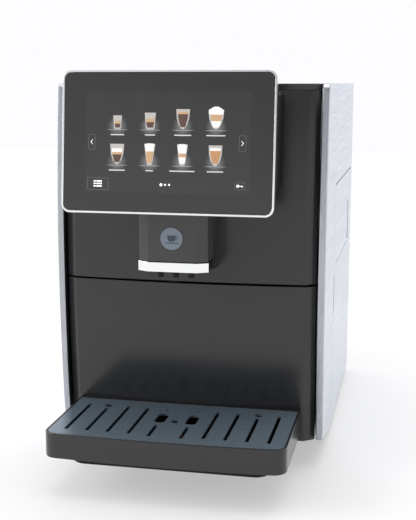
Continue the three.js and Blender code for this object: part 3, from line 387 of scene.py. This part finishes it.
# a lighter copy of the satin lacquer for the spout cover: its paler colour is painted sheen, standing in for
# the bright reflection on the spout's front
spoutSheenLacquer = satinLacquer("lacqueredAbsPaintedSheen", "#363637", "#3d3d3e", 0.2, 0.28)
polishedRim = brightMetal("polishedAluminiumRim", "#f7f8fa")
for part in frame["record"]["subparts"]:
    nodes[part["node"]].material_slots[0].material = finishes[part["material_slot"]]
for name in ("left_trim", "right_trim"):
    nodes[name].material_slots[0].material = uprightBrushed
nodes["screen_frame"].material_slots[0].material = polishedRim
# the spout cover takes the lighter lacquer, whose extra brightness is painted sheen
nodes["spout_cover"].material_slots[0].material = spoutSheenLacquer
print("finishes made:", len(finishes) + 3)

edgeRounding = {  # millimetres; the rest get 0.35
    "left_side_panel": 0.7, "right_side_panel": 0.7, "service_door": 0.6, "left_trim": 1.0, "right_trim": 1.0,
    "upper_front_panel": 0.8, "lower_front_panel": 0.8, "top_cover": 1.0, "hopper_lid": 0.8, "tank_lid": 0.8,
    "drip_tray": 0.8, "base_pan": 1.5, "head_housing": 1.2, "spout_guide": 0.7, "screen_frame": 0.7,
    "screen_glass": 0.3, "drip_grille": 0.3, "spout_cover": 0.9, "spout_band": 0.4, "drawer_cradle": 0.8,
}
creaseFrom = {"spout_cover": 14, "spout_band": 14}  # degrees; their chamfers are shallow but crisp
for name, node in nodes.items():
    # weld the loose triangles, clear the flat faces, then round every sharp edge
    for face in node.data.polygons:
        face.use_smooth = True
    weld = node.modifiers.new("weld", "WELD")
    weld.merge_threshold = 0.002 * mm
    flat = node.modifiers.new("flat", "DECIMATE")
    flat.decimate_type = "DISSOLVE"
    flat.angle_limit = math.radians(0.3)
    bevel = node.modifiers.new("bevel", "BEVEL")
    bevel.width = edgeRounding.get(name, 0.35) * mm
    bevel.segments = 2
    bevel.limit_method = "ANGLE"
    bevel.angle_limit = math.radians(creaseFrom.get(name, 28))
    level = node.modifiers.new("level", "WEIGHTED_NORMAL")  # broad faces stay flat to the eye
    level.mode = "FACE_AREA"
    level.weight = 90
print("edges rounded")


def only(piece):
    for other in list(bpy.context.selected_objects):
        other.select_set(False)
    piece.select_set(True)
    bpy.context.view_layer.objects.active = piece


def settle(piece):
    # leave the object at the origin, with its place in its mesh
    only(piece)
    bpy.ops.object.transform_apply(location=True, rotation=True, scale=True)
    return piece


def edit(piece, kind="FACE"):
    only(piece)
    bpy.ops.object.mode_set(mode="EDIT")
    bpy.ops.mesh.select_mode(type=kind)
    bpy.ops.mesh.select_all(action="DESELECT")


def leaveEdit():
    bpy.ops.object.mode_set(mode="OBJECT")


def pickEdges(piece, test):
    # test gets an edge's middle and its direction
    mesh = bmesh.from_edit_mesh(piece.data)
    for edge in mesh.edges:
        low, high = (corner.co for corner in edge.verts)
        edge.select = test((low + high) / 2, (high - low).normalized())
    mesh.select_flush_mode()
    bmesh.update_edit_mesh(piece.data)


def pickFaces(piece, test):
    # test gets a face's middle and its normal
    mesh = bmesh.from_edit_mesh(piece.data)
    for face in mesh.faces:
        face.select = test(face.calc_center_median(), face.normal)
    bmesh.update_edit_mesh(piece.data)


def slab(name, low, high):
    bpy.ops.object.select_all(action="DESELECT")
    bpy.ops.mesh.primitive_cube_add(size=1, location=[(a + b) / 2 for a, b in zip(low, high)])
    piece = bpy.context.object
    piece.name = name
    piece.scale = [b - a for a, b in zip(low, high)]
    return settle(piece)


def roundEdges(piece, radius, segments, test):
    edit(piece, "EDGE")
    pickEdges(piece, test)
    bpy.ops.mesh.bevel(
        offset=radius, offset_type="OFFSET", segments=segments, affect="EDGES", clamp_overlap=True)
    leaveEdit()
    return piece


def along(axis):
    # picks the edges that run along an axis
    return lambda place, way: abs(way[axis]) > 0.999


def turned(name, profile, place, segments=24):
    # a solid of revolution about Z, from (radius, height) pairs
    bpy.ops.object.select_all(action="DESELECT")
    radius, height = profile[0]
    bpy.ops.mesh.primitive_circle_add(
        vertices=segments, radius=radius, fill_type="NGON", location=(0, 0, height))
    piece = bpy.context.object
    piece.name = name
    settle(piece)
    edit(piece)
    bpy.ops.mesh.select_all(action="SELECT")
    for (fromRadius, low), (toRadius, high) in zip(profile, profile[1:]):
        bpy.ops.mesh.extrude_region_move(TRANSFORM_OT_translate={"value": (0, 0, high - low)})
        grow = toRadius / fromRadius
        bpy.ops.transform.resize(value=(grow, grow, 1), center_override=(0, 0, high))
    bpy.ops.mesh.select_all(action="SELECT")
    bpy.ops.mesh.normals_make_consistent(inside=False)
    leaveEdit()
    piece.location = place
    return settle(piece)


def modify(piece, kind, **settings):
    only(piece)
    tool = piece.modifiers.new(kind.lower(), kind)
    for key, value in settings.items():
        setattr(tool, key, value)
    bpy.ops.object.modifier_apply(modifier=tool.name)


def joined(name, pieces):
    only(pieces[0])
    for piece in pieces[1:]:
        piece.select_set(True)
    if len(pieces) > 1:
        bpy.ops.object.join()
    pieces[0].name = name
    return pieces[0]


def soften(piece, width, segments=2, angle=28):
    modify(piece, "BEVEL", width=width, segments=segments, limit_method="ANGLE",
           angle_limit=math.radians(angle), harden_normals=False)
    only(piece)
    bpy.ops.object.shade_smooth_by_angle(angle=math.radians(35))


def dress(piece, material):
    piece.data.materials.clear()
    piece.data.materials.append(material)


def mount(piece, body):
    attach(piece, body)


def litLayer(name, dark, light, glow, grain=0.4):
    # a lit picture on a liquid-crystal panel: its own light, row by row, behind a smooth gloss
    material, tree, shader, place = startMaterial(name, light, 0.16, ior=1.52)
    rows = addNode(tree, "ShaderNodeMapping", {"Vector": place, "Scale": per(3.0, 3.0, grain)})
    noise = addNode(tree, "ShaderNodeTexNoise", {"Vector": rows["Vector"], "Scale": 1.0, "Detail": 2.0})
    shade = addNode(tree, "ShaderNodeMix", {
        0: noise["Fac"], 6: colour(dark), 7: colour(light)}, data_type="RGBA")
    tree.links.new(shade[2], shader["Base Color"])
    tree.links.new(shade[2], shader["Emission Color"])
    shader["Emission Strength"].default_value = glow
    return material


screenLean = math.radians(6.55)  # how far the screen leans back
screenThick = 12  # millimetres, at right angles to the glass


def screenFoot():
    # the lower front edge of the screen's frame; its back edge hangs a little lower
    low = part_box("screen_frame")[0]
    return Vector((0, low.y, low.z + screenThick * mm * math.sin(screenLean)))


picture = {  # millimetres on the glass: across from its middle, up from the frame's lower edge
    "lit": (-84, 84, 21, 121),
    "litRound": 1.0,
    "columns": (-50.5, -17.0, 16.2, 49.4),
    "columnPitch": 33.3,
    "rows": (83.8, 48.6),
    "poolRise": 3.0,  # the pool of light's middle, above the drink's foot
    "poolReach": (1.0, 11.5),  # full within the first radius, gone beyond the second
    "poolGlow": 0.17,
    "shelf": 25.5,
    "shelfDrop": 0.5,
    "labels": ((14, 10.4, 17.3, 19), (16.7, 7.9, 25.5, 16.3)),
    "labelDrop": 5.4,
    "labelTall": 1.15,
    "labelRound": 0.4,
    "arrows": ((-80.4, -73.6, 63.5, 78.7, -1), (72.7, 79.4, 63.5, 78.7, 1)),
    "listButton": (-80.9, -59.2, 23.5, 35.4),
    "keyButton": (69.4, 79.6, 26.3, 33.2),
    "pageDots": ((-4.7, 1.6), (-0.5, 1.05), (3.5, 1.05)),
    "dotHeight": 29.6,
    "line": 0.5,
    "frameRound": 0.9,
    "proud": 0.06,
    "buried": 0.2,  # how deep the flat pieces go into the glass
    "relief": 0.35,
    "glassRelief": 0.45,  # the glasses' share of it, so that what they hold stands before them
    "inside": 0.84,  # a drink's width as a share of its clear double-walled glass
}
# each drink: the glass's outline, then its bands as (finish, foot radius, foot, head radius, head)
drinks = (
    (((3.6, 0), (4.3, 3), (5, 13.6)), (("coffee", 3.0, 1.6, 4.0, 5.4), ("crema", 4.0, 5.4, 4.4, 7.8))),
    (((4.4, 0), (5.2, 3), (6.2, 16.5)), (("coffee", 3.9, 1.8, 5.1, 7.2), ("crema", 5.1, 7.2, 5.5, 10.4))),
    (((2.6, 0), (5.0, 4.5), (6.9, 11), (7.5, 20.1)), (
        ("coffee", 3.2, 2.6, 6.1, 11.0), ("coffee", 6.1, 11.0, 6.5, 15.2), ("crema", 6.5, 15.2, 6.6, 17.4))),
    (((2.8, 0), (5.6, 4.5), (7.8, 11.5), (8.5, 19.6)), (
        ("foam", 3.4, 2.4, 6.2, 8.6), ("crema", 6.2, 8.6, 7.2, 15.0), ("foam", 7.2, 15.0, 7.6, 19.4),
        ("foam", 7.6, 19.4, 2.4, 22.7))),
    (((2.8, 0), (5.2, 4.5), (7.2, 11), (7.9, 20.7)), (
        ("coffee", 3.3, 2.6, 6.3, 10.2), ("crema", 6.3, 10.2, 6.6, 12.6), ("foam", 6.6, 12.6, 6.7, 16.2))),
    (((3.2, 0), (4.0, 4), (6.2, 21.2)), (
        ("crema", 3.4, 2.4, 5.0, 13.6), ("foam", 5.0, 13.6, 5.8, 19.8), ("foam", 5.8, 19.8, 3.2, 21.5))),
    (((3.2, 0), (4.0, 4), (6.0, 20.9)), (
        ("foam", 3.3, 2.0, 4.2, 8.2), ("crema", 4.2, 8.2, 4.8, 12.0), ("foam", 4.8, 12.0, 5.6, 19.6),
        ("foam", 5.6, 19.6, 3.2, 21.2))),
    (((2.8, 0), (5.2, 4.5), (7.0, 11), (7.4, 20.3)), (
        ("milkCoffee", 3.3, 2.6, 6.2, 11.0), ("milkCoffee", 6.2, 11.0, 6.6, 15.0),
        ("foam", 6.6, 15.0, 6.6, 17.6))),
)


def litPanel():
    # the liquid-crystal picture's ground: dark grey, with a pool of light round each drink's foot
    material, tree, shader, place = startMaterial("litScreenGround", "#3d3d3e", 0.14, ior=1.52)
    inMillimetres = addNode(tree, "ShaderNodeMapping", {"Vector": place, "Scale": per(1, 1, 1)})
    split = addNode(tree, "ShaderNodeSeparateXYZ", {"Vector": inMillimetres["Vector"]})
    # the nearest column's middle, from its number
    first, pitch = picture["columns"][0], picture["columnPitch"]
    column = addNode(tree, "ShaderNodeMath", {0: split["X"], 1: first}, operation="SUBTRACT")
    column = addNode(tree, "ShaderNodeMath", {0: column[0], 1: pitch}, operation="DIVIDE")
    column = addNode(tree, "ShaderNodeMath", {0: column[0]}, operation="ROUND")
    column = addNode(tree, "ShaderNodeMath", {0: column[0], 1: 0.0}, operation="MAXIMUM")
    column = addNode(tree, "ShaderNodeMath", {
        0: column[0], 1: len(picture["columns"]) - 1.0}, operation="MINIMUM")
    centre = addNode(tree, "ShaderNodeMath", {
        0: column[0], 1: pitch, 2: first}, operation="MULTIPLY_ADD")
    aside = addNode(tree, "ShaderNodeMath", {0: split["X"], 1: centre[0]}, operation="SUBTRACT")
    asideSquared = addNode(tree, "ShaderNodeMath", {0: aside[0], 1: aside[0]}, operation="MULTIPLY")
    glow = 0.0
    for row in picture["rows"]:
        height = screenFoot().z / mm + (row + picture["poolRise"]) * math.cos(screenLean)
        rise = addNode(tree, "ShaderNodeMath", {0: split["Z"], 1: height}, operation="SUBTRACT")
        riseSquared = addNode(tree, "ShaderNodeMath", {0: rise[0], 1: rise[0]}, operation="MULTIPLY")
        far = addNode(tree, "ShaderNodeMath", {0: asideSquared[0], 1: riseSquared[0]}, operation="ADD")
        far = addNode(tree, "ShaderNodeMath", {0: far[0]}, operation="SQRT")
        inner, outer = picture["poolReach"]
        pool = addNode(tree, "ShaderNodeMapRange", {
            "Value": far[0], "From Min": inner, "From Max": outer,
            "To Min": picture["poolGlow"], "To Max": 0.0}, interpolation_type="SMOOTHSTEP")
        glow = addNode(tree, "ShaderNodeMath", {0: glow, 1: pool["Result"]}, operation="ADD")[0]
    tree.links.new(glow, shader["Emission Strength"])
    shader["Emission Color"].default_value = colour("#fdfdff")
    smear = addNode(tree, "ShaderNodeMapping", {"Vector": place, "Scale": per(24, 24, 38)})
    finger = addNode(tree, "ShaderNodeTexNoise", {
        "Vector": smear["Vector"], "Scale": 1.0, "Detail": 3.0})
    shade = addNode(tree, "ShaderNodeMix", {
        0: finger["Fac"], 6: colour("#363637"), 7: colour("#3b3b3c")}, data_type="RGBA")
    tree.links.new(shade[2], shader["Base Color"])
    gloss = addNode(tree, "ShaderNodeMapRange", {
        "Value": finger["Fac"], "To Min": 0.08, "To Max": 0.18})
    tree.links.new(gloss["Result"], shader["Roughness"])
    return material


litFinishes = {
    "coffee": litLayer("litCoffeeBrown", "#4a3630", "#614a42", 0.3),
    "crema": litLayer("litCremaTan", "#ab8a68", "#c6a47f", 0.42),
    "milkCoffee": litLayer("litMilkCoffee", "#a87c55", "#bd8e62", 0.4),
    "foam": litLayer("litMilkFoam", "#d2cfcc", "#f0eeeb", 0.45),
    "glassware": litLayer("litGlassware", "#9b9794", "#c9c4bf", 0.34),
    "icons": litLayer("litIconWhite", "#eeeeee", "#ffffff", 0.7),
    "labels": litLayer("litLabelGrey", "#bdbdbe", "#cfcfd0", 0.4),
    "lines": litLayer("litButtonGrey", "#7c7c7d", "#8e8e8f", 0.35),
    "shelves": litLayer("litShelfGlow", "#8f8f90", "#a4a4a5", 0.3),
}


def flatBar(name, left, right, low, high, proud, corner):
    # a thin rounded plate on the glass, its face to the front
    buried = picture["buried"] * mm
    piece = slab(name, (left * mm, -proud * mm, low * mm), (right * mm, buried, high * mm))
    return roundEdges(piece, corner * mm, 4, along(1))


def buttonFrame(left, right, low, high):
    # a hollow outline: the plate's front face is inset, then the middle is pushed back
    piece = flatBar(
        "buttonFrame", left, right, low, high, picture["proud"] * 2, picture["frameRound"])
    edit(piece)
    pickFaces(piece, lambda place, normal: normal.y < -0.99)
    bpy.ops.mesh.inset(thickness=picture["line"] * mm)
    bpy.ops.transform.translate(value=(0, picture["proud"] * 3 * mm, 0))
    leaveEdit()
    return piece


def flatDrink(base, across, outline, bands):
    # each band is turned, then pressed flat on to the glass
    made = {"glassware": [turned("glassware", [(r * mm, h * mm) for r, h in outline], (0, 0, 0))]}
    for finish, footRadius, low, headRadius, high in bands:
        inside = 1.0 if high > outline[-1][1] - 1 else picture["inside"]
        rim = [(footRadius * inside * mm, low * mm), (headRadius * inside * mm, high * mm)]
        made.setdefault(finish, []).append(turned("drinkBand", rim, (0, 0, 0)))
    for finish, pieces in made.items():
        deep = picture["relief"] * (picture["glassRelief"] if finish == "glassware" else 1.0)
        for piece in pieces:
            piece.scale.y = deep * mm / max(piece.dimensions.x / 2, mm)
            piece.location = (across * mm, 0, base * mm)
            settle(piece)
    return made


icons = {  # millimetres
    "chevron": (3.3, 0.4, 0.48),  # one stroke's length, depth and width
    "chevronTurn": 50,
    "chevronRise": 1.1,  # a stroke's middle, above or below the button's
    "listFoot": 27.1,
    "listPitch": 2.5,
    "listHalf": 0.65,
    "listDot": (-74.4, -72.2),
    "listBar": (-71.5, -65.8),
    "listRound": 0.3,
    "bow": (3.0, 1.2, 1.45),  # the key's head: in from the left, its rim's and its middle's radius
    "shank": (3.5, 2.2, 0.35),  # in from the left and the right, half its width
    "bit": (3.4, 2.6, 1.1),  # in from the right at its start and end, how far down it goes
    "thin": 0.2,  # how far the icons stand out, and how round their corners are
    "dotRim": 0.8,  # a page dot's edge, as a share of its radius
    "dotHalf": 0.15,
}


def button(profile, across, height):
    # a small disc that faces the front
    disc = turned("disc", profile, (0, 0, 0))
    disc.rotation_euler = (math.pi / 2, 0, 0)
    disc.location = (across * mm, 0, height * mm)
    return settle(disc)


def shelfLine(across, base):
    # a small lens-shaped bead, drawn out to a line that thins towards its ends
    radius, half = 0.34, 0.2
    rim = [(half * mm, -half * mm), (radius * mm, 0), (half * mm, half * mm)]
    shelf = turned("shelf", rim, (0, 0, 0), 16)
    shelf.scale = (picture["shelf"] / (2 * radius), 0.5, 1.6)
    shelf.location = (across * mm, 0, (base - picture["shelfDrop"]) * mm)
    return settle(shelf)


def chevron(middle, height, hand):
    strokes = []
    half = [size / 2 * mm for size in icons["chevron"]]
    for side in (-1, 1):
        stroke = slab("stroke", [-size for size in half], half)
        roundEdges(stroke, icons["thin"] * mm, 3, along(1))
        stroke.rotation_euler = (0, math.radians(icons["chevronTurn"] * side * hand), 0)
        stroke.location = (middle * mm, 0, (height + icons["chevronRise"] * side) * mm)
        strokes.append(settle(stroke))
    return strokes


def listSign():
    signs = []
    for line in range(3):
        height = icons["listFoot"] + icons["listPitch"] * line
        for left, right in (icons["listDot"], icons["listBar"]):
            signs.append(flatBar(
                "listSign", left, right, height - icons["listHalf"], height + icons["listHalf"],
                icons["thin"], icons["listRound"]))
    return signs


def keySign(left, right, middle):
    thin = icons["thin"]
    inset, edge, radius = icons["bow"]
    rim = [(edge * mm, -thin * mm), (radius * mm, 0), (edge * mm, thin * mm)]
    signs = [button(rim, left + inset, middle)]
    fromLeft, fromRight, half = icons["shank"]
    signs.append(flatBar(
        "keyShank", left + fromLeft, right - fromRight, middle - half, middle + half, thin, thin))
    start, end, drop = icons["bit"]
    signs.append(flatBar("keyBit", right - start, right - end, middle - drop, middle, thin, thin))
    return signs


def buildScreenPicture():
    pieces = {name: [] for name in litFinishes}
    for index, (outline, bands) in enumerate(drinks):
        row, column = divmod(index, 4)
        base, across = picture["rows"][row], picture["columns"][column]
        for finish, made in flatDrink(base, across, outline, bands).items():
            pieces[finish] += made
        pieces["shelves"].append(shelfLine(across, base))
        wide, middle = picture["labels"][row][column] / 2, base - picture["labelDrop"]
        tall = picture["labelTall"] / 2
        pieces["labels"].append(flatBar(
            "label", across - wide, across + wide, middle - tall, middle + tall,
            picture["proud"] * 2, picture["labelRound"]))
    for left, right, low, high, hand in picture["arrows"]:
        pieces["lines"].append(buttonFrame(left, right, low, high))
        pieces["icons"] += chevron((left + right) / 2, (low + high) / 2, hand)
    pieces["lines"].append(buttonFrame(*picture["listButton"]))
    pieces["icons"] += listSign()
    left, right, low, high = picture["keyButton"]
    pieces["lines"].append(buttonFrame(left, right, low, high))
    pieces["icons"] += keySign(left, right, (low + high) / 2)
    for across, radius in picture["pageDots"]:
        edge, half = radius * icons["dotRim"] * mm, icons["dotHalf"] * mm
        pieces["icons"].append(button(
            [(edge, -half), (radius * mm, 0), (edge, half)], across, picture["dotHeight"]))
    left, right, low, high = picture["lit"]
    ground = flatBar("litGround", left, right, low, high, picture["proud"], picture["litRound"])
    finished = [(ground, litPanel())]
    for finish, made in pieces.items():
        finished.append((joined("picture" + finish.capitalize(), made), litFinishes[finish]))
    for piece, material in finished:
        # lean the flat picture back on to the glass
        piece.rotation_euler = (-screenLean, 0, 0)
        piece.location = screenFoot()
        settle(piece)
        only(piece)
        bpy.ops.object.shade_smooth_by_angle(angle=math.radians(35))
        dress(piece, material)
        mount(piece, "cabinet")


buildScreenPicture()
print("screen picture built")

cupSign = {  # millimetres about the badge's middle
    "bowl": ((2.6, -3.4), (3.9, -1.6), (4.6, 1.0), (4.6, 2.8)),  # radius, height
    "handle": 2.1,
    "handleHeight": 0.6,
    "wire": 0.75,
    "saucer": (7.0, -5.4, -4.5),  # half its width, foot, head
    "proud": 0.25,
    "buried": 0.1,
    "lift": 0.4,
}


def buildCupSign():
    # a plain cup on a saucer, printed in dark blue-grey on the round badge
    low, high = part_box("spout_badge")
    middle = (low + high) / 2
    bowl = turned("cupBowl", [(r * mm, h * mm) for r, h in cupSign["bowl"]], (0, 0, 0), 32)
    bowlRadius = cupSign["bowl"][-1][0]
    bowl.scale.y = cupSign["proud"] / bowlRadius
    settle(bowl)
    bpy.ops.object.select_all(action="DESELECT")
    bpy.ops.mesh.primitive_torus_add(
        major_radius=cupSign["handle"] * mm, minor_radius=cupSign["wire"] * mm / 2,
        major_segments=28, minor_segments=8, rotation=(math.pi / 2, 0, 0),
        location=(bowlRadius * mm, 0, cupSign["handleHeight"] * mm))
    handle = settle(bpy.context.object)
    edit(handle)
    bpy.ops.mesh.select_all(action="SELECT")
    bpy.ops.transform.resize(value=(1, 0.5, 1), center_override=(0, 0, 0))
    leaveEdit()
    half, foot, head = (size * mm for size in cupSign["saucer"])
    saucer = slab(
        "saucer", (-half, -cupSign["proud"] * mm, foot), (half, cupSign["buried"] * mm, head))
    roundEdges(saucer, 0.4 * mm, 4, along(1))
    sign = joined("cupSign", [bowl, handle, saucer])
    sign.location = (middle.x, low.y, middle.z + cupSign["lift"] * mm)
    settle(sign)
    soften(sign, 0.05 * mm)
    dress(sign, plainMoulding("signInk", "#333c46", "#3c4651", 0.4, 1.5, 1.5))
    mount(sign, "spout")


buildCupSign()
print("cup sign built")
